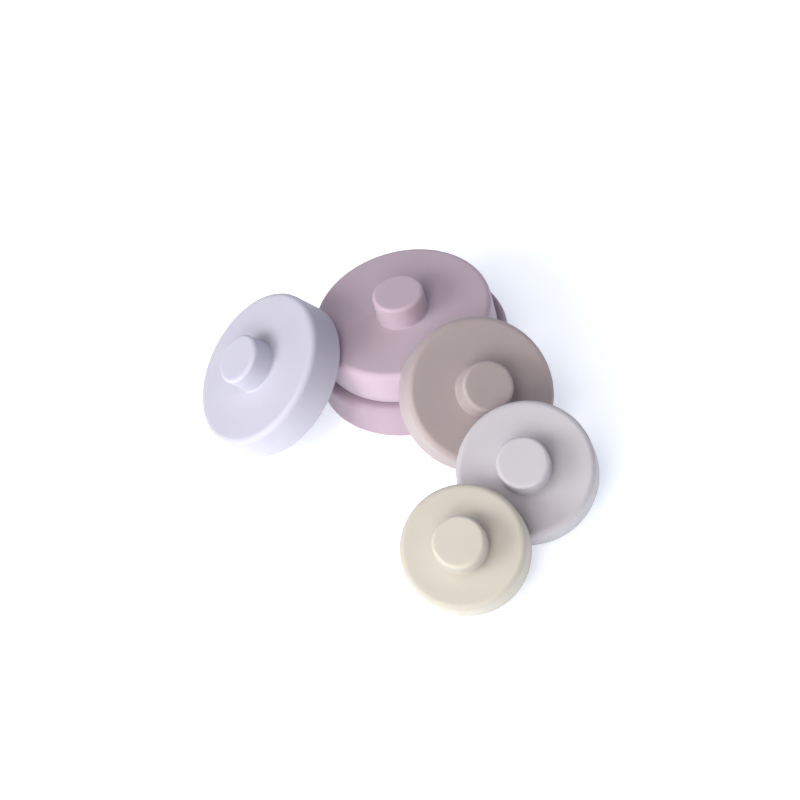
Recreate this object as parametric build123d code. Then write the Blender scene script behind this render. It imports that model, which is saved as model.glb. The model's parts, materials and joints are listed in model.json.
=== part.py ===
"""Stacking toy: six round silicone discs, each with a peg on top and a matching socket underneath.

Two discs are stacked flat on the floor and the other four lean against them in a row.
Millimetres, +Z up. The origin is the centre of the largest disc's underside, on the floor.
"""
from build123d import *
import os
from math import cos, radians, sin

# Driving dimensions. Every disc has the same thickness, peg and socket, so any disc fits any other.
DISC_THICKNESS = 18.0
PEG_DIAMETER = 23.5
PEG_HEIGHT = 12.0
SOCKET_SIDE_GAP = 0.4      # between a peg's side and the socket wall
SOCKET_END_GAP = 0.8       # between a peg's end and the socket floor
TOP_ROUND = 2.8            # soft rounding of a disc's top rim
FOOT_ROUND = 1.5           # smaller rounding where a disc meets what it stands on
PEG_ROUND = 1.8            # rounding of a peg's end
SEAT_GAP = 0.1             # between two stacked faces

# The discs that stand flat: diameter and height of the underside above the floor.
FLAT_DISCS = {
    "base_disc": (90.0, 0.0),
    "rose_disc": (82.0, DISC_THICKNESS + SEAT_GAP),
}

# The discs that lean: diameter, centre of the underside along X and Y, how far the disc is tipped
# from flat, and the compass direction that its peg leans to, in degrees from +X.
LEANING_DISCS = {
    "lavender_disc": (74.0, -60.8, -7.1, 35.3, 186.1),
    "taupe_disc": (68.0, 18.8, -51.8, 42.2, -66.0),
    "mauve_disc": (62.0, 33.1, -102.3, 29.7, -97.9),
    "cream_disc": (56.0, -2.3, -135.2, 30.9, -102.0),
}

STANDING = (Align.CENTER, Align.CENTER, Align.MIN)


def rounded_cylinder(diameter, height, foot_round, top_round):
    """A cylinder standing at the origin, with each rim rounded unless its rounding is zero."""
    solid = Cylinder(diameter / 2, height, align=STANDING)
    foot, top = solid.edges().filter_by(GeomType.CIRCLE).sort_by(Axis.Z)
    solid = fillet(top, top_round)
    if foot_round:
        foot = solid.edges().filter_by(GeomType.CIRCLE).sort_by(Axis.Z)[0]
        solid = fillet(foot, foot_round)
    return solid


def disc(diameter):
    """One moulded disc, standing flat at the origin: body, peg on top, blind socket underneath."""
    body = rounded_cylinder(diameter, DISC_THICKNESS, FOOT_ROUND, TOP_ROUND)
    peg = rounded_cylinder(PEG_DIAMETER, DISC_THICKNESS / 4 + PEG_HEIGHT, 0, PEG_ROUND)
    peg = Pos(0, 0, DISC_THICKNESS * 3 / 4) * peg
    socket_radius = PEG_DIAMETER / 2 + SOCKET_SIDE_GAP
    socket = Cylinder(socket_radius, PEG_HEIGHT + SOCKET_END_GAP, align=STANDING)
    return body + peg - socket


def leaning_height(diameter, tilt):
    """Height of a tipped disc's underside centre that puts its rounded edge exactly on the floor."""
    edge_centre = diameter / 2 - FOOT_ROUND
    return edge_centre * sin(radians(tilt)) + FOOT_ROUND * (1 - cos(radians(tilt)))


discs = {}
for name, (diameter, height) in FLAT_DISCS.items():
    discs[name] = Pos(0, 0, height) * disc(diameter)

for name, (diameter, x, y, tilt, heading) in LEANING_DISCS.items():
    place = Pos(x, y, leaning_height(diameter, tilt)) * Rot(0, 0, heading) * Rot(0, tilt, 0)
    discs[name] = place * disc(diameter)

os.makedirs("parts", exist_ok=True)
for name, solid in discs.items():
    solid.label = name
    export_step(solid, f"parts/{name}.step")
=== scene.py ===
# %% [markdown]
# # A stacking toy of six silicone discs
#
# The toy is six thick round discs. Each is one soft moulding: a body, a plug called the peg on its top face,
# and a socket underneath that fits the peg of the disc below. Two discs are stacked, and the other four lean
# against them in a row. This lesson makes the visible discs around a finished CAD model, which fixes every
# size and place. We only add what a moulding has and a plain CAD solid doesn't: full soft roundings, a hint
# of unevenness, a parting line, and silicone that scatters a little light.

import json
from math import pi, radians

import bpy
import numpy as np
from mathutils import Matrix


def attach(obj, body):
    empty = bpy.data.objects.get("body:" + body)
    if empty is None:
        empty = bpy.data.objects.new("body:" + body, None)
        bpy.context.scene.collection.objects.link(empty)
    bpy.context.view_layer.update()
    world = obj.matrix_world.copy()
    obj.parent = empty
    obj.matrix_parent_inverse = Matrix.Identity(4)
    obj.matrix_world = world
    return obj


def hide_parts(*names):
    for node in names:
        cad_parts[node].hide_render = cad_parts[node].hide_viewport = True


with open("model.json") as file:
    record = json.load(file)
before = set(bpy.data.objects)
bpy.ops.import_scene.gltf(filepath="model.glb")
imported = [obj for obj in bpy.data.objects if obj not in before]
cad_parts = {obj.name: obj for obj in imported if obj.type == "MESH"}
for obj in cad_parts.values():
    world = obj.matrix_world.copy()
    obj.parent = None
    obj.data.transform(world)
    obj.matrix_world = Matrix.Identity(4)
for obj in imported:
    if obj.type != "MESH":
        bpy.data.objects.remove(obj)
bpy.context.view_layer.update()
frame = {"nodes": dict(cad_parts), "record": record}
mounts = {mount["name"]: mount for mount in frame["record"]["mounts"]}

MM = 0.001    # the frame is in metres, and a moulding is easier to think about in millimetres

print("nodes:", sorted(frame["nodes"]))

# %% [markdown]
# ## Measuring the discs
#
# A leaning disc is easy to draw flat and then tip into place. For that we need its own axis and the centre of
# its underside. The record states the peg or the socket of each disc as a mount, with a point and a
# direction, so nothing has to be guessed. The radii come from the CAD vertices: how far they stand from
# the axis, and how far along it.

# %% Find where each disc stands
STACK = {
    # a mount on the disc's axis, and 1 if that mount's axis points out of the disc's top,
    # -1 if it points out of the underside
    "base_disc": ("base_socket", -1),
    "rose_disc": ("rose_peg", 1),
    "lavender_disc": ("lavender_socket", -1),
    "taupe_disc": ("taupe_socket", -1),
    "mauve_disc": ("mauve_socket", -1),
    "cream_disc": ("cream_socket", -1),
}


def mesh_points(node):
    """All vertices of a CAD node as an array of points."""
    vertices = frame["nodes"][node].data.vertices
    points = np.empty(len(vertices) * 3, np.float32)
    vertices.foreach_get("co", points)
    return points.reshape(-1, 3).astype(float)


def measure_disc(node):
    """Axis, underside centre and main sizes of a disc.

    The mount gives a point on the axis and the axis itself. With h the height of a vertex along the axis and
    r its distance from it, the disc's radius is the largest r, and its underside is at the smallest h.
    """
    mount_name, sign = STACK[node]
    axis = sign * np.array(mounts[mount_name]["axis"], float)
    axis /= np.linalg.norm(axis)
    offset = mesh_points(node) - np.array(mounts[mount_name]["pos_m"], float)
    height = offset @ axis
    radius = np.linalg.norm(offset - np.outer(height, axis), axis=1)
    return {
        "axis": axis,
        "foot": np.array(mounts[mount_name]["pos_m"], float) + height.min() * axis,
        "radius": radius.max(),
        "total": height.max() - height.min(),
        "peg_radius": mounts["rose_peg"]["dims"]["r_mm"] * MM,
        "socket_radius": mounts["base_socket"]["dims"]["r_mm"] * MM,
        "socket_depth": mounts["base_socket"]["dims"]["length_mm"] * MM,
    }


sizes = {node: measure_disc(node) for node in STACK}
for node, size in sizes.items():
    print(f"{node}: {2000 * size['radius']:.1f} mm across, {1000 * size['total']:.1f} mm with its peg")

# %% [markdown]
# ## The camera
#
# Small products are often pictured with a long lens from well back, looking down at about 45 degrees. That
# keeps a near disc and a far one at nearly the same scale, so their sizes can be compared. Here the camera
# is also turned a little about its own line of sight, so what lies straight in front of the toy is seen
# below it and to one side. The lens is worked out from the width that the picture should take in at the
# target.

# %% Set up the camera
CAMERA_TARGET = np.array([-0.0124, -0.0187, 0.0])
CAMERA_DISTANCE = 1.897
CAMERA_ELEVATION = radians(45.05)
CAMERA_TURN = radians(-16.24)
VIEW_WIDTH = 0.3664        # metres taken in at the camera's target
SENSOR_WIDTH = 36.0        # millimetres, like the focal length that follows from it
NEAREST_SEEN = 0.05
FARTHEST_SEEN = 50.0

lens_camera = bpy.data.cameras.new("picture_camera")
lens_camera.sensor_width = SENSOR_WIDTH
lens_camera.lens = SENSOR_WIDTH * CAMERA_DISTANCE / VIEW_WIDTH
lens_camera.clip_start = NEAREST_SEEN
lens_camera.clip_end = FARTHEST_SEEN
camera = bpy.data.objects.new("picture_camera", lens_camera)
bpy.context.scene.collection.objects.link(camera)


def direction(azimuth, elevation):
    """Unit vector that points to a compass direction and up by an elevation, both in radians."""
    level = np.cos(elevation)
    return np.array([level * np.cos(azimuth), level * np.sin(azimuth), np.sin(elevation)])


def turned_about(vector, other, angle):
    """Turns a unit vector towards another, square to it: cos(angle) * vector + sin(angle) * other."""
    return np.cos(angle) * vector + np.sin(angle) * other


backwards = direction(-pi / 2, CAMERA_ELEVATION)
rightwards = np.array([1.0, 0.0, 0.0])
upwards = np.cross(backwards, rightwards)
camera_x = turned_about(rightwards, upwards, CAMERA_TURN)
camera_y = turned_about(upwards, -rightwards, CAMERA_TURN)
matrix = np.eye(4)
matrix[:3, 0] = camera_x
matrix[:3, 1] = camera_y
matrix[:3, 2] = backwards
matrix[:3, 3] = CAMERA_TARGET + CAMERA_DISTANCE * backwards
camera.matrix_world = matrix.T.tolist()
bpy.context.scene.camera = camera
print(f"lens {lens_camera.lens:.0f} mm, camera {matrix[2, 3]:.2f} m above the floor")

# %% [markdown]
# ## Floor and light
#
# The toy lies on a backlit white table, as small products often do in a studio. The table is so bright that
# it comes out plain white, and what is left of the shadows is pale and cool. A floor that only reflects
# would need far stronger lamps, which would wash the pale silicone out. So the floor's material also glows
# a little by itself.

# %% Make the glowing table
bpy.context.scene.view_settings.view_transform = "Standard"

FLOOR_HALF = 6.0
FLOOR_DROP = 0.05 * MM     # two faces in one plane flicker, so the table is just under the base disc
FLOOR_GLOW = 0.46
FLOOR_GLOW_COLOR = (0.92, 0.99, 1.09)
FLOOR_WHITE = (0.90, 0.90, 0.90)
FLOOR_ROUGHNESS = 0.9
FLOOR_GLOSS = 0.1
corners = FLOOR_HALF * np.array([[-1, -1, 0], [1, -1, 0], [1, 1, 0], [-1, 1, 0]])
corners[:, 2] = -FLOOR_DROP
table_mesh = bpy.data.meshes.new("white_table")
table_mesh.from_pydata(corners.tolist(), [], [(0, 1, 2, 3)])
table = bpy.data.objects.new("white_table", table_mesh)
bpy.context.scene.collection.objects.link(table)

acrylic = bpy.data.materials.new("white_acrylic")
acrylic.use_nodes = True
acrylic_shader = acrylic.node_tree.nodes["Principled BSDF"]
acrylic_shader.inputs["Base Color"].default_value = (*FLOOR_WHITE, 1.0)
acrylic_shader.inputs["Roughness"].default_value = FLOOR_ROUGHNESS
acrylic_shader.inputs["Specular IOR Level"].default_value = FLOOR_GLOSS
acrylic_shader.inputs["Emission Color"].default_value = (*FLOOR_GLOW_COLOR, 1.0)
acrylic_shader.inputs["Emission Strength"].default_value = FLOOR_GLOW
table_mesh.materials.append(acrylic)
print(f"the table is {2 * FLOOR_HALF:.0f} m wide")

# %% [markdown]
# ## Lamps
#
# Two windows side by side, low on the front left, do most of the work: walls that face them are the
# brightest surfaces, upward faces are darker, and each peg throws a soft shadow to the back right. A weak
# lamp high above the windows and a cool one at the back right stand for a skylight and a pale wall. A sun
# lamp would be simpler, but its shadows have hard edges. A large area lamp makes a shadow that starts sharp
# at the peg and fades as it gets longer.

# %% Hang the lamps
LAMP_DISTANCE = 1.6
LAMPS = {
    # azimuth and elevation in degrees, width and height in metres, power in watts, colour
    "left_window": (-155, 30, 0.8, 0.7, 18.0, (0.97, 1.0, 1.0)),
    "right_window": (-112, 28, 0.8, 0.7, 12.5, (0.96, 1.0, 0.97)),
    "skylight": (-120, 65, 0.8, 0.8, 8.0, (1.04, 1.0, 1.0)),
    "back_wall": (40, 35, 1.2, 0.8, 4.8, (0.82, 0.93, 1.26)),
}


def hang_lamp(name, azimuth, elevation, width, height, power, color):
    """A rectangular lamp that faces the middle of the toy: its own Z axis points away from the toy."""
    data = bpy.data.lights.new(name, "AREA")
    data.shape = "RECTANGLE"
    data.size, data.size_y = width, height
    data.energy, data.color = power, color
    lamp = bpy.data.objects.new(name, data)
    away = direction(radians(azimuth), radians(elevation))
    side = np.cross([0.0, 0.0, 1.0], away)
    side /= np.linalg.norm(side)
    place = np.eye(4)
    place[:3, :3] = np.column_stack([side, np.cross(away, side), away])
    place[:3, 3] = CAMERA_TARGET + LAMP_DISTANCE * away
    lamp.matrix_world = place.T.tolist()
    bpy.context.scene.collection.objects.link(lamp)


for name, settings in LAMPS.items():
    hang_lamp(name, *settings)
print("lamps:", ", ".join(LAMPS))

# %% [markdown]
# Light also comes back from the walls and the ceiling of a real studio. A faint even glow from all around
# stands for it, and keeps the deepest shadows open.

# %% Set the room's own glow
ROOM_GLOW = (0.98, 0.98, 0.97)
ROOM_STRENGTH = 0.15
room = bpy.data.worlds.new("room")
room.use_nodes = True
room.node_tree.nodes["Background"].inputs["Color"].default_value = (*ROOM_GLOW, 1.0)
room.node_tree.nodes["Background"].inputs["Strength"].default_value = ROOM_STRENGTH
bpy.context.scene.world = room
print("room glow:", ROOM_STRENGTH)

# %% [markdown]
# ## The outline of a disc
#
# A moulded disc is a body of revolution: one outline, turned about the axis, gives all of it. The outline
# starts at the middle of the peg's end, runs out and down over the peg, across the top face, down the
# wall, and back under the disc into the socket. Corners are quarter circles, because a mould is cut with a
# round tool and a child's toy has no sharp edge. Straight stretches get more points near their ends, so
# that smooth shading doesn't spread a corner's curve over the flat face beside it.

# %% Draw the outline
RIM_ROUND = 2.8 * MM       # top rim of the body
FOOT_ROUND = 1.5 * MM      # bottom edge of the body
PEG_ROUND = 1.8 * MM       # edge of the peg's end
PEG_ROOT = 0.9 * MM        # hollow corner where the peg meets the top face
MOUTH_ROUND = 2.0 * MM     # edge of the socket's mouth
SOCKET_CORNER = 1.5 * MM   # hollow corner at the socket's end
BODY_HEIGHT = 18.0 * MM    # the body without its peg
ARC_STEPS = 14             # steps round a quarter circle
FLAT_STEPS = 16            # steps along a straight stretch


def arc(radius, height, size, start, end, steps=ARC_STEPS):
    """Part of a circle: (radius, height) + size * (cos t, sin t), with t from start to end degrees."""
    t = np.radians(np.linspace(start, end, steps + 1))
    return np.column_stack([radius + size * np.cos(t), height + size * np.sin(t)])


def straight(start, end, steps=FLAT_STEPS):
    """Points between two ends, closer together near each: start + (end - start) * (1 - cos t) / 2."""
    share = (1 - np.cos(np.linspace(0, pi, steps + 1)[1:-1])) / 2
    return np.array(start) + np.outer(share, np.array(end) - np.array(start))


def disc_outline(size):
    """The closed outline of one disc as (r, z) points, from the peg's end round to the socket's end."""
    rim, peg = size["radius"], size["peg_radius"]
    socket, depth, total = size["socket_radius"], size["socket_depth"], size["total"]
    peg_middle = np.array([[0.0, total]])
    peg_edge = arc(peg - PEG_ROUND, total - PEG_ROUND, PEG_ROUND, 90, 0)
    peg_root = arc(peg + PEG_ROOT, BODY_HEIGHT + PEG_ROOT, PEG_ROOT, 180, 270)
    top_rim = arc(rim - RIM_ROUND, BODY_HEIGHT - RIM_ROUND, RIM_ROUND, 90, 0)
    foot = arc(rim - FOOT_ROUND, FOOT_ROUND, FOOT_ROUND, 0, -90)
    mouth = arc(socket + MOUTH_ROUND, MOUTH_ROUND, MOUTH_ROUND, -90, -180)
    socket_corner = arc(socket - SOCKET_CORNER, depth - SOCKET_CORNER, SOCKET_CORNER, 0, 90)
    socket_middle = np.array([[0.0, depth]])
    corners = [peg_middle, peg_edge, peg_root, top_rim, foot, mouth, socket_corner, socket_middle]
    outline = [corners[0]]
    for before, after in zip(corners, corners[1:]):
        outline += [straight(before[-1], after[0]), after]
    return np.concatenate(outline)


example = disc_outline(sizes["base_disc"])
print(f"the largest disc's outline has {len(example)} points")

# %% [markdown]
# ## Turning the outline
#
# Blender can turn an outline with a Screw modifier or a Spin, but unless points are merged afterwards, both
# leave doubled points on the axis and along a seam. Working the surface out with numpy needs no merging:
# every point of the outline but the two on the axis becomes a ring, neighbouring rings are joined with
# quads, and a fan of triangles closes each end on a single point.

# %% Turn an outline into a closed surface
TURNS = 192


def turned_surface(outline, turns=TURNS):
    """A surface of revolution. A point at angle a and outline position (r, z) is (r cos a, r sin a, z).

    Returns the vertices, and the faces as an array of quads and two arrays of triangles, all facing outwards.
    """
    angle = np.arange(turns) * 2 * pi / turns
    ring_r, ring_z = outline[1:-1, 0], outline[1:-1, 1]
    x = np.outer(ring_r, np.cos(angle))
    y = np.outer(ring_r, np.sin(angle))
    z = np.outer(ring_z, np.ones(turns))
    rings = np.stack([x, y, z], axis=-1).reshape(-1, 3)
    poles = np.array([[0, 0, outline[0, 1]], [0, 0, outline[-1, 1]]])
    vertices = np.concatenate([rings, poles])

    count = len(ring_r)
    here = np.arange(turns)
    following = (here + 1) % turns
    first = np.arange(count - 1)[:, None] * turns
    second = first + turns
    quads = np.stack([first + here, second + here, second + following, first + following], axis=-1)
    top, bottom = count * turns, count * turns + 1
    last = (count - 1) * turns
    top_fan = np.column_stack([np.full(turns, top), here, following])
    bottom_fan = np.column_stack([np.full(turns, bottom), last + following, last + here])
    return vertices, quads.reshape(-1, 4), top_fan, bottom_fan


vertices, quads, top_fan, bottom_fan = turned_surface(example)
print(f"{len(vertices)} points, {len(quads)} quads and {len(top_fan) + len(bottom_fan)} triangles")

# %% [markdown]
# ## A moulding isn't perfect
#
# Silicone shrinks a little as it cures, and more where it is thick. The top face sinks by a tenth of a
# millimetre or so between the peg and the rim, and the wall is never quite round. Both are too small to see
# as shapes, but they bend the soft highlights a little. A fine ridge runs round the wall near the bottom,
# where the two halves of the mould met. The unevenness is a sum of a few slow waves rather than random noise,
# so it is smooth and is the same each time.

# %% Add sink, waviness and the parting line
SINK = 0.10 * MM
TOP_BAND = 0.2 * MM        # points this close to the top face sink with it
WAVE = 0.035 * MM
WAVES = [                  # waves in a turn, share of the seed, radians per metre up the wall
    (2, 1.0, 0.0),
    (3, 2.1, 90.0),
    (5, 0.7, -140.0),
]
WALL_START = 0.9           # share of the radius from which the wall's unevenness sets in
PARTING_HEIGHT = 2.1 * MM
PARTING_RIDGE = 0.05 * MM
PARTING_WIDTH = 0.22 * MM


def moulded(points, size, seed):
    """Shifts the points of a flat-standing disc, by a tenth of a millimetre at most.

    Sink: the top face drops by SINK times sin^2 of the share of the way from the peg to the rim.
    Waves: the wall moves inwards by WAVE * (1 + mean of cos(turns * angle + phase * seed + climb * z)) / 2.
    Ridge: the wall swells by PARTING_RIDGE times exp(-(distance from the parting line / width)^2).
    """
    x, y, z = points.T
    r = np.hypot(x, y)
    angle = np.arctan2(y, x)
    shifted = points.copy()

    share = np.clip((r - size["peg_radius"]) / (size["radius"] - size["peg_radius"]), 0, 1)
    on_top = np.abs(z - BODY_HEIGHT) < TOP_BAND
    shifted[:, 2] -= SINK * np.sin(pi * share) ** 2 * on_top

    waves = [np.cos(turns * angle + phase * seed + climb * z) for turns, phase, climb in WAVES]
    inwards = -WAVE * (1 + np.mean(waves, axis=0)) / 2
    ridge = PARTING_RIDGE * np.exp(-((z - PARTING_HEIGHT) / PARTING_WIDTH) ** 2)
    wall = np.clip((r / size["radius"] - WALL_START) / (1 - WALL_START), 0, 1)
    push = (inwards + ridge) * wall
    grown = 1 + push / np.maximum(r, MM)
    shifted[:, 0] *= grown
    shifted[:, 1] *= grown
    return shifted


moved = moulded(vertices, sizes["base_disc"], seed=1.0) - vertices
print(f"the largest shift is {1000 * np.abs(moved).max():.3f} mm")

# %% [markdown]
# ## Silicone
#
# Silicone rubber is dyed all the way through and taken from a sand-blasted mould, so it is matt and has an
# even colour with no grain. Three things tell it from matt paint. Light goes in a few millimetres and comes
# out again, which softens shadow edges and warms them. At a grazing angle the fine texture catches light, so
# rounded rims look powdery. And the surface holds a very fine pebble from the mould. Subsurface, sheen and
# two scales of bump stand for these. One function makes all six silicones, because the discs differ only in
# their dye and in how far each colour of light travels through it.

# %% Make the silicone material
SCATTER_DEPTH = 3 * MM
SCATTER_SHARE = 0.6
SILICONE_IOR = 1.41
DRIFT_SIZE = 26 * MM       # size of the clouds in the dye
WORN_SIZE = 17 * MM        # size of the patches that are a little more or less matt
SWELL_SIZE = 9 * MM        # size of the slow swell of the surface
SWELL_HEIGHT = 0.4 * MM
SWELL_STRENGTH = 0.06
PEBBLE_SIZE = 0.7 * MM     # size of the mould's blasted grain
PEBBLE_HEIGHT = 0.1 * MM
PEBBLE_STRENGTH = 0.10
CLOUD_RANGE = (0.35, 0.65)        # the part of the noise that runs from one dye to the other
ROUGHNESS_RANGE = (0.50, 0.62)    # from the most polished patches to the least
POWDER = 0.12                     # weight of the sheen that makes grazing rims look powdery
POWDER_ROUGHNESS = 0.45


def linked(tree, kind, **inputs):
    """Adds a shader node and fills its inputs by name with numbers or with other nodes' sockets."""
    node = tree.nodes.new(kind)
    for name, value in inputs.items():
        socket = node.inputs[name.replace("_", " ")]
        if isinstance(value, bpy.types.NodeSocket):
            tree.links.new(value, socket)
        else:
            socket.default_value = value
    return node


def silicone(name, dye, shadow_dye, bleed):
    """A matt, dyed silicone. The dye drifts slightly over a few centimetres, from dye to shadow_dye.

    Bleed is how far red, green and blue light travel inside, as shares of SCATTER_DEPTH.
    """
    material = bpy.data.materials.new(name)
    material.use_nodes = True
    tree = material.node_tree
    shader = tree.nodes["Principled BSDF"]
    place = tree.nodes.new("ShaderNodeTexCoord").outputs["Object"]

    cloud = linked(tree, "ShaderNodeTexNoise", Vector=place, Scale=1 / DRIFT_SIZE, Detail=3.0)
    drift = tree.nodes.new("ShaderNodeMapRange")
    tree.links.new(cloud.outputs["Fac"], drift.inputs["Value"])
    drift.inputs["From Min"].default_value = CLOUD_RANGE[0]
    drift.inputs["From Max"].default_value = CLOUD_RANGE[1]
    colour = tree.nodes.new("ShaderNodeMix")
    colour.data_type = "RGBA"
    colour.inputs["A"].default_value = (*dye, 1.0)
    colour.inputs["B"].default_value = (*shadow_dye, 1.0)
    tree.links.new(drift.outputs["Result"], colour.inputs["Factor"])
    tree.links.new(colour.outputs["Result"], shader.inputs["Base Color"])

    pebble = linked(tree, "ShaderNodeTexNoise", Vector=place, Scale=1 / PEBBLE_SIZE, Detail=2.0)
    fine = linked(
        tree, "ShaderNodeBump", Height=pebble.outputs["Fac"],
        Strength=PEBBLE_STRENGTH, Distance=PEBBLE_HEIGHT,
    )
    swell = linked(tree, "ShaderNodeTexNoise", Vector=place, Scale=1 / SWELL_SIZE, Detail=1.0)
    bump = linked(
        tree, "ShaderNodeBump", Height=swell.outputs["Fac"], Normal=fine.outputs["Normal"],
        Strength=SWELL_STRENGTH, Distance=SWELL_HEIGHT,
    )
    tree.links.new(bump.outputs["Normal"], shader.inputs["Normal"])

    worn = linked(tree, "ShaderNodeTexNoise", Vector=place, Scale=1 / WORN_SIZE, Detail=4.0)
    roughness = tree.nodes.new("ShaderNodeMapRange")
    tree.links.new(worn.outputs["Fac"], roughness.inputs["Value"])
    roughness.inputs["To Min"].default_value = ROUGHNESS_RANGE[0]
    roughness.inputs["To Max"].default_value = ROUGHNESS_RANGE[1]
    tree.links.new(roughness.outputs["Result"], shader.inputs["Roughness"])

    shader.inputs["IOR"].default_value = SILICONE_IOR
    shader.inputs["Subsurface Weight"].default_value = SCATTER_SHARE
    shader.inputs["Subsurface Radius"].default_value = bleed
    shader.inputs["Subsurface Scale"].default_value = SCATTER_DEPTH
    shader.inputs["Sheen Weight"].default_value = POWDER
    shader.inputs["Sheen Roughness"].default_value = POWDER_ROUGHNESS
    return material


DYES = {
    # the dye, the dye where it is a little denser, and how far red, green and blue travel inside
    "deep_rose": ((0.393, 0.297, 0.352), (0.385, 0.289, 0.343), (1.0, 0.50, 0.55)),
    "dusty_rose": ((0.492, 0.388, 0.450), (0.484, 0.379, 0.441), (1.0, 0.50, 0.55)),
    "lavender_grey": ((0.507, 0.489, 0.571), (0.500, 0.482, 0.565), (0.75, 0.70, 1.0)),
    "taupe": ((0.400, 0.333, 0.335), (0.392, 0.325, 0.326), (1.0, 0.65, 0.55)),
    "mauve_grey": ((0.500, 0.468, 0.500), (0.492, 0.460, 0.492), (1.0, 0.75, 0.85)),
    "cream": ((0.505, 0.463, 0.410), (0.497, 0.455, 0.401), (1.0, 0.85, 0.50)),
}
silicones = {name: silicone(name + "_silicone", *dyes) for name, dyes in DYES.items()}
print("materials:", sorted(silicones))

# %% [markdown]
# ## Putting the discs in place
#
# Each disc is drawn standing flat at the origin. Its own axis then has to point along the measured axis, so
# we build three directions square to each other, with the third along the axis, and write every point
# as a sum of them. The finished object itself stays at the origin, unturned: the place is in the mesh.
# Every face is shaded smooth, because the outline's dense points beside each rounding keep the flat faces
# flat.

# %% Build a disc, place it, and let it stand for its CAD node
def placed(points, axis, foot):
    """Moves points from the flat drawing to the disc's place: foot + x * side + y * across + z * axis."""
    side = np.cross(axis, [0.0, 1.0, 0.0])
    side /= np.linalg.norm(side)
    across = np.cross(axis, side)
    return foot + points @ np.stack([side, across, axis])


def build_disc(node, body, slot, seed):
    """Makes one visible disc from its outline and declares what it rides on and stands for."""
    size = sizes[node]
    points, quads, top_fan, bottom_fan = turned_surface(disc_outline(size))
    points = placed(moulded(points, size, seed), size["axis"], size["foot"])
    mesh = bpy.data.meshes.new(node + "_moulding")
    faces = quads.tolist() + top_fan.tolist() + bottom_fan.tolist()
    mesh.from_pydata(points.tolist(), [], faces)
    mesh.polygons.foreach_set("use_smooth", [True] * len(mesh.polygons))
    mesh.materials.append(silicones[slot])
    mesh.update()
    disc = bpy.data.objects.new(node + "_moulding", mesh)
    bpy.context.scene.collection.objects.link(disc)
    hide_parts(node)
    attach(disc, body)
    return disc


PIECES = [
    # CAD node, the body it rides on, material slot
    ("base_disc", "base", "deep_rose"),
    ("rose_disc", "rose", "dusty_rose"),
    ("lavender_disc", "lavender", "lavender_grey"),
    ("taupe_disc", "taupe", "taupe"),
    ("mauve_disc", "mauve", "mauve_grey"),
    ("cream_disc", "cream", "cream"),
]
FIRST_SEED = 0.4
SEED_STEP = 1.7    # gives every disc waves of its own

discs = []
for number, (node, body, slot) in enumerate(PIECES):
    disc = build_disc(node, body, slot, seed=SEED_STEP * number + FIRST_SEED)
    discs.append(disc)
    print(disc.name, len(disc.data.polygons), "faces")

# %% [markdown]
# ## Checking the surfaces
#
# A turned surface can come out inside-out and still look right in a picture. The volume inside it tells: if
# it is positive and near the volume of a plain cylinder, the faces point outwards. It also says how heavy a
# disc is, if it is solid silicone.

# %% Check that every disc faces outwards
SILICONE_DENSITY = 1.2     # grams in a cubic centimetre
CM3 = 1e-6                 # a cubic centimetre, in cubic metres


def enclosed_volume(mesh):
    """Signed volume inside a mesh: the sum over its triangles (a, b, c) of a . (b x c) / 6."""
    mesh.calc_loop_triangles()
    corners = np.empty(len(mesh.loop_triangles) * 3, np.int32)
    mesh.loop_triangles.foreach_get("vertices", corners)
    points = np.empty(len(mesh.vertices) * 3, np.float32)
    mesh.vertices.foreach_get("co", points)
    a, b, c = points.reshape(-1, 3).astype(float)[corners.reshape(-1, 3)].transpose(1, 0, 2)
    return (a * np.cross(b, c)).sum() / 6


for disc in discs:
    volume = enclosed_volume(disc.data) / CM3
    print(f"{disc.name}: {volume:.1f} cm3, {SILICONE_DENSITY * volume:.0f} g if solid")
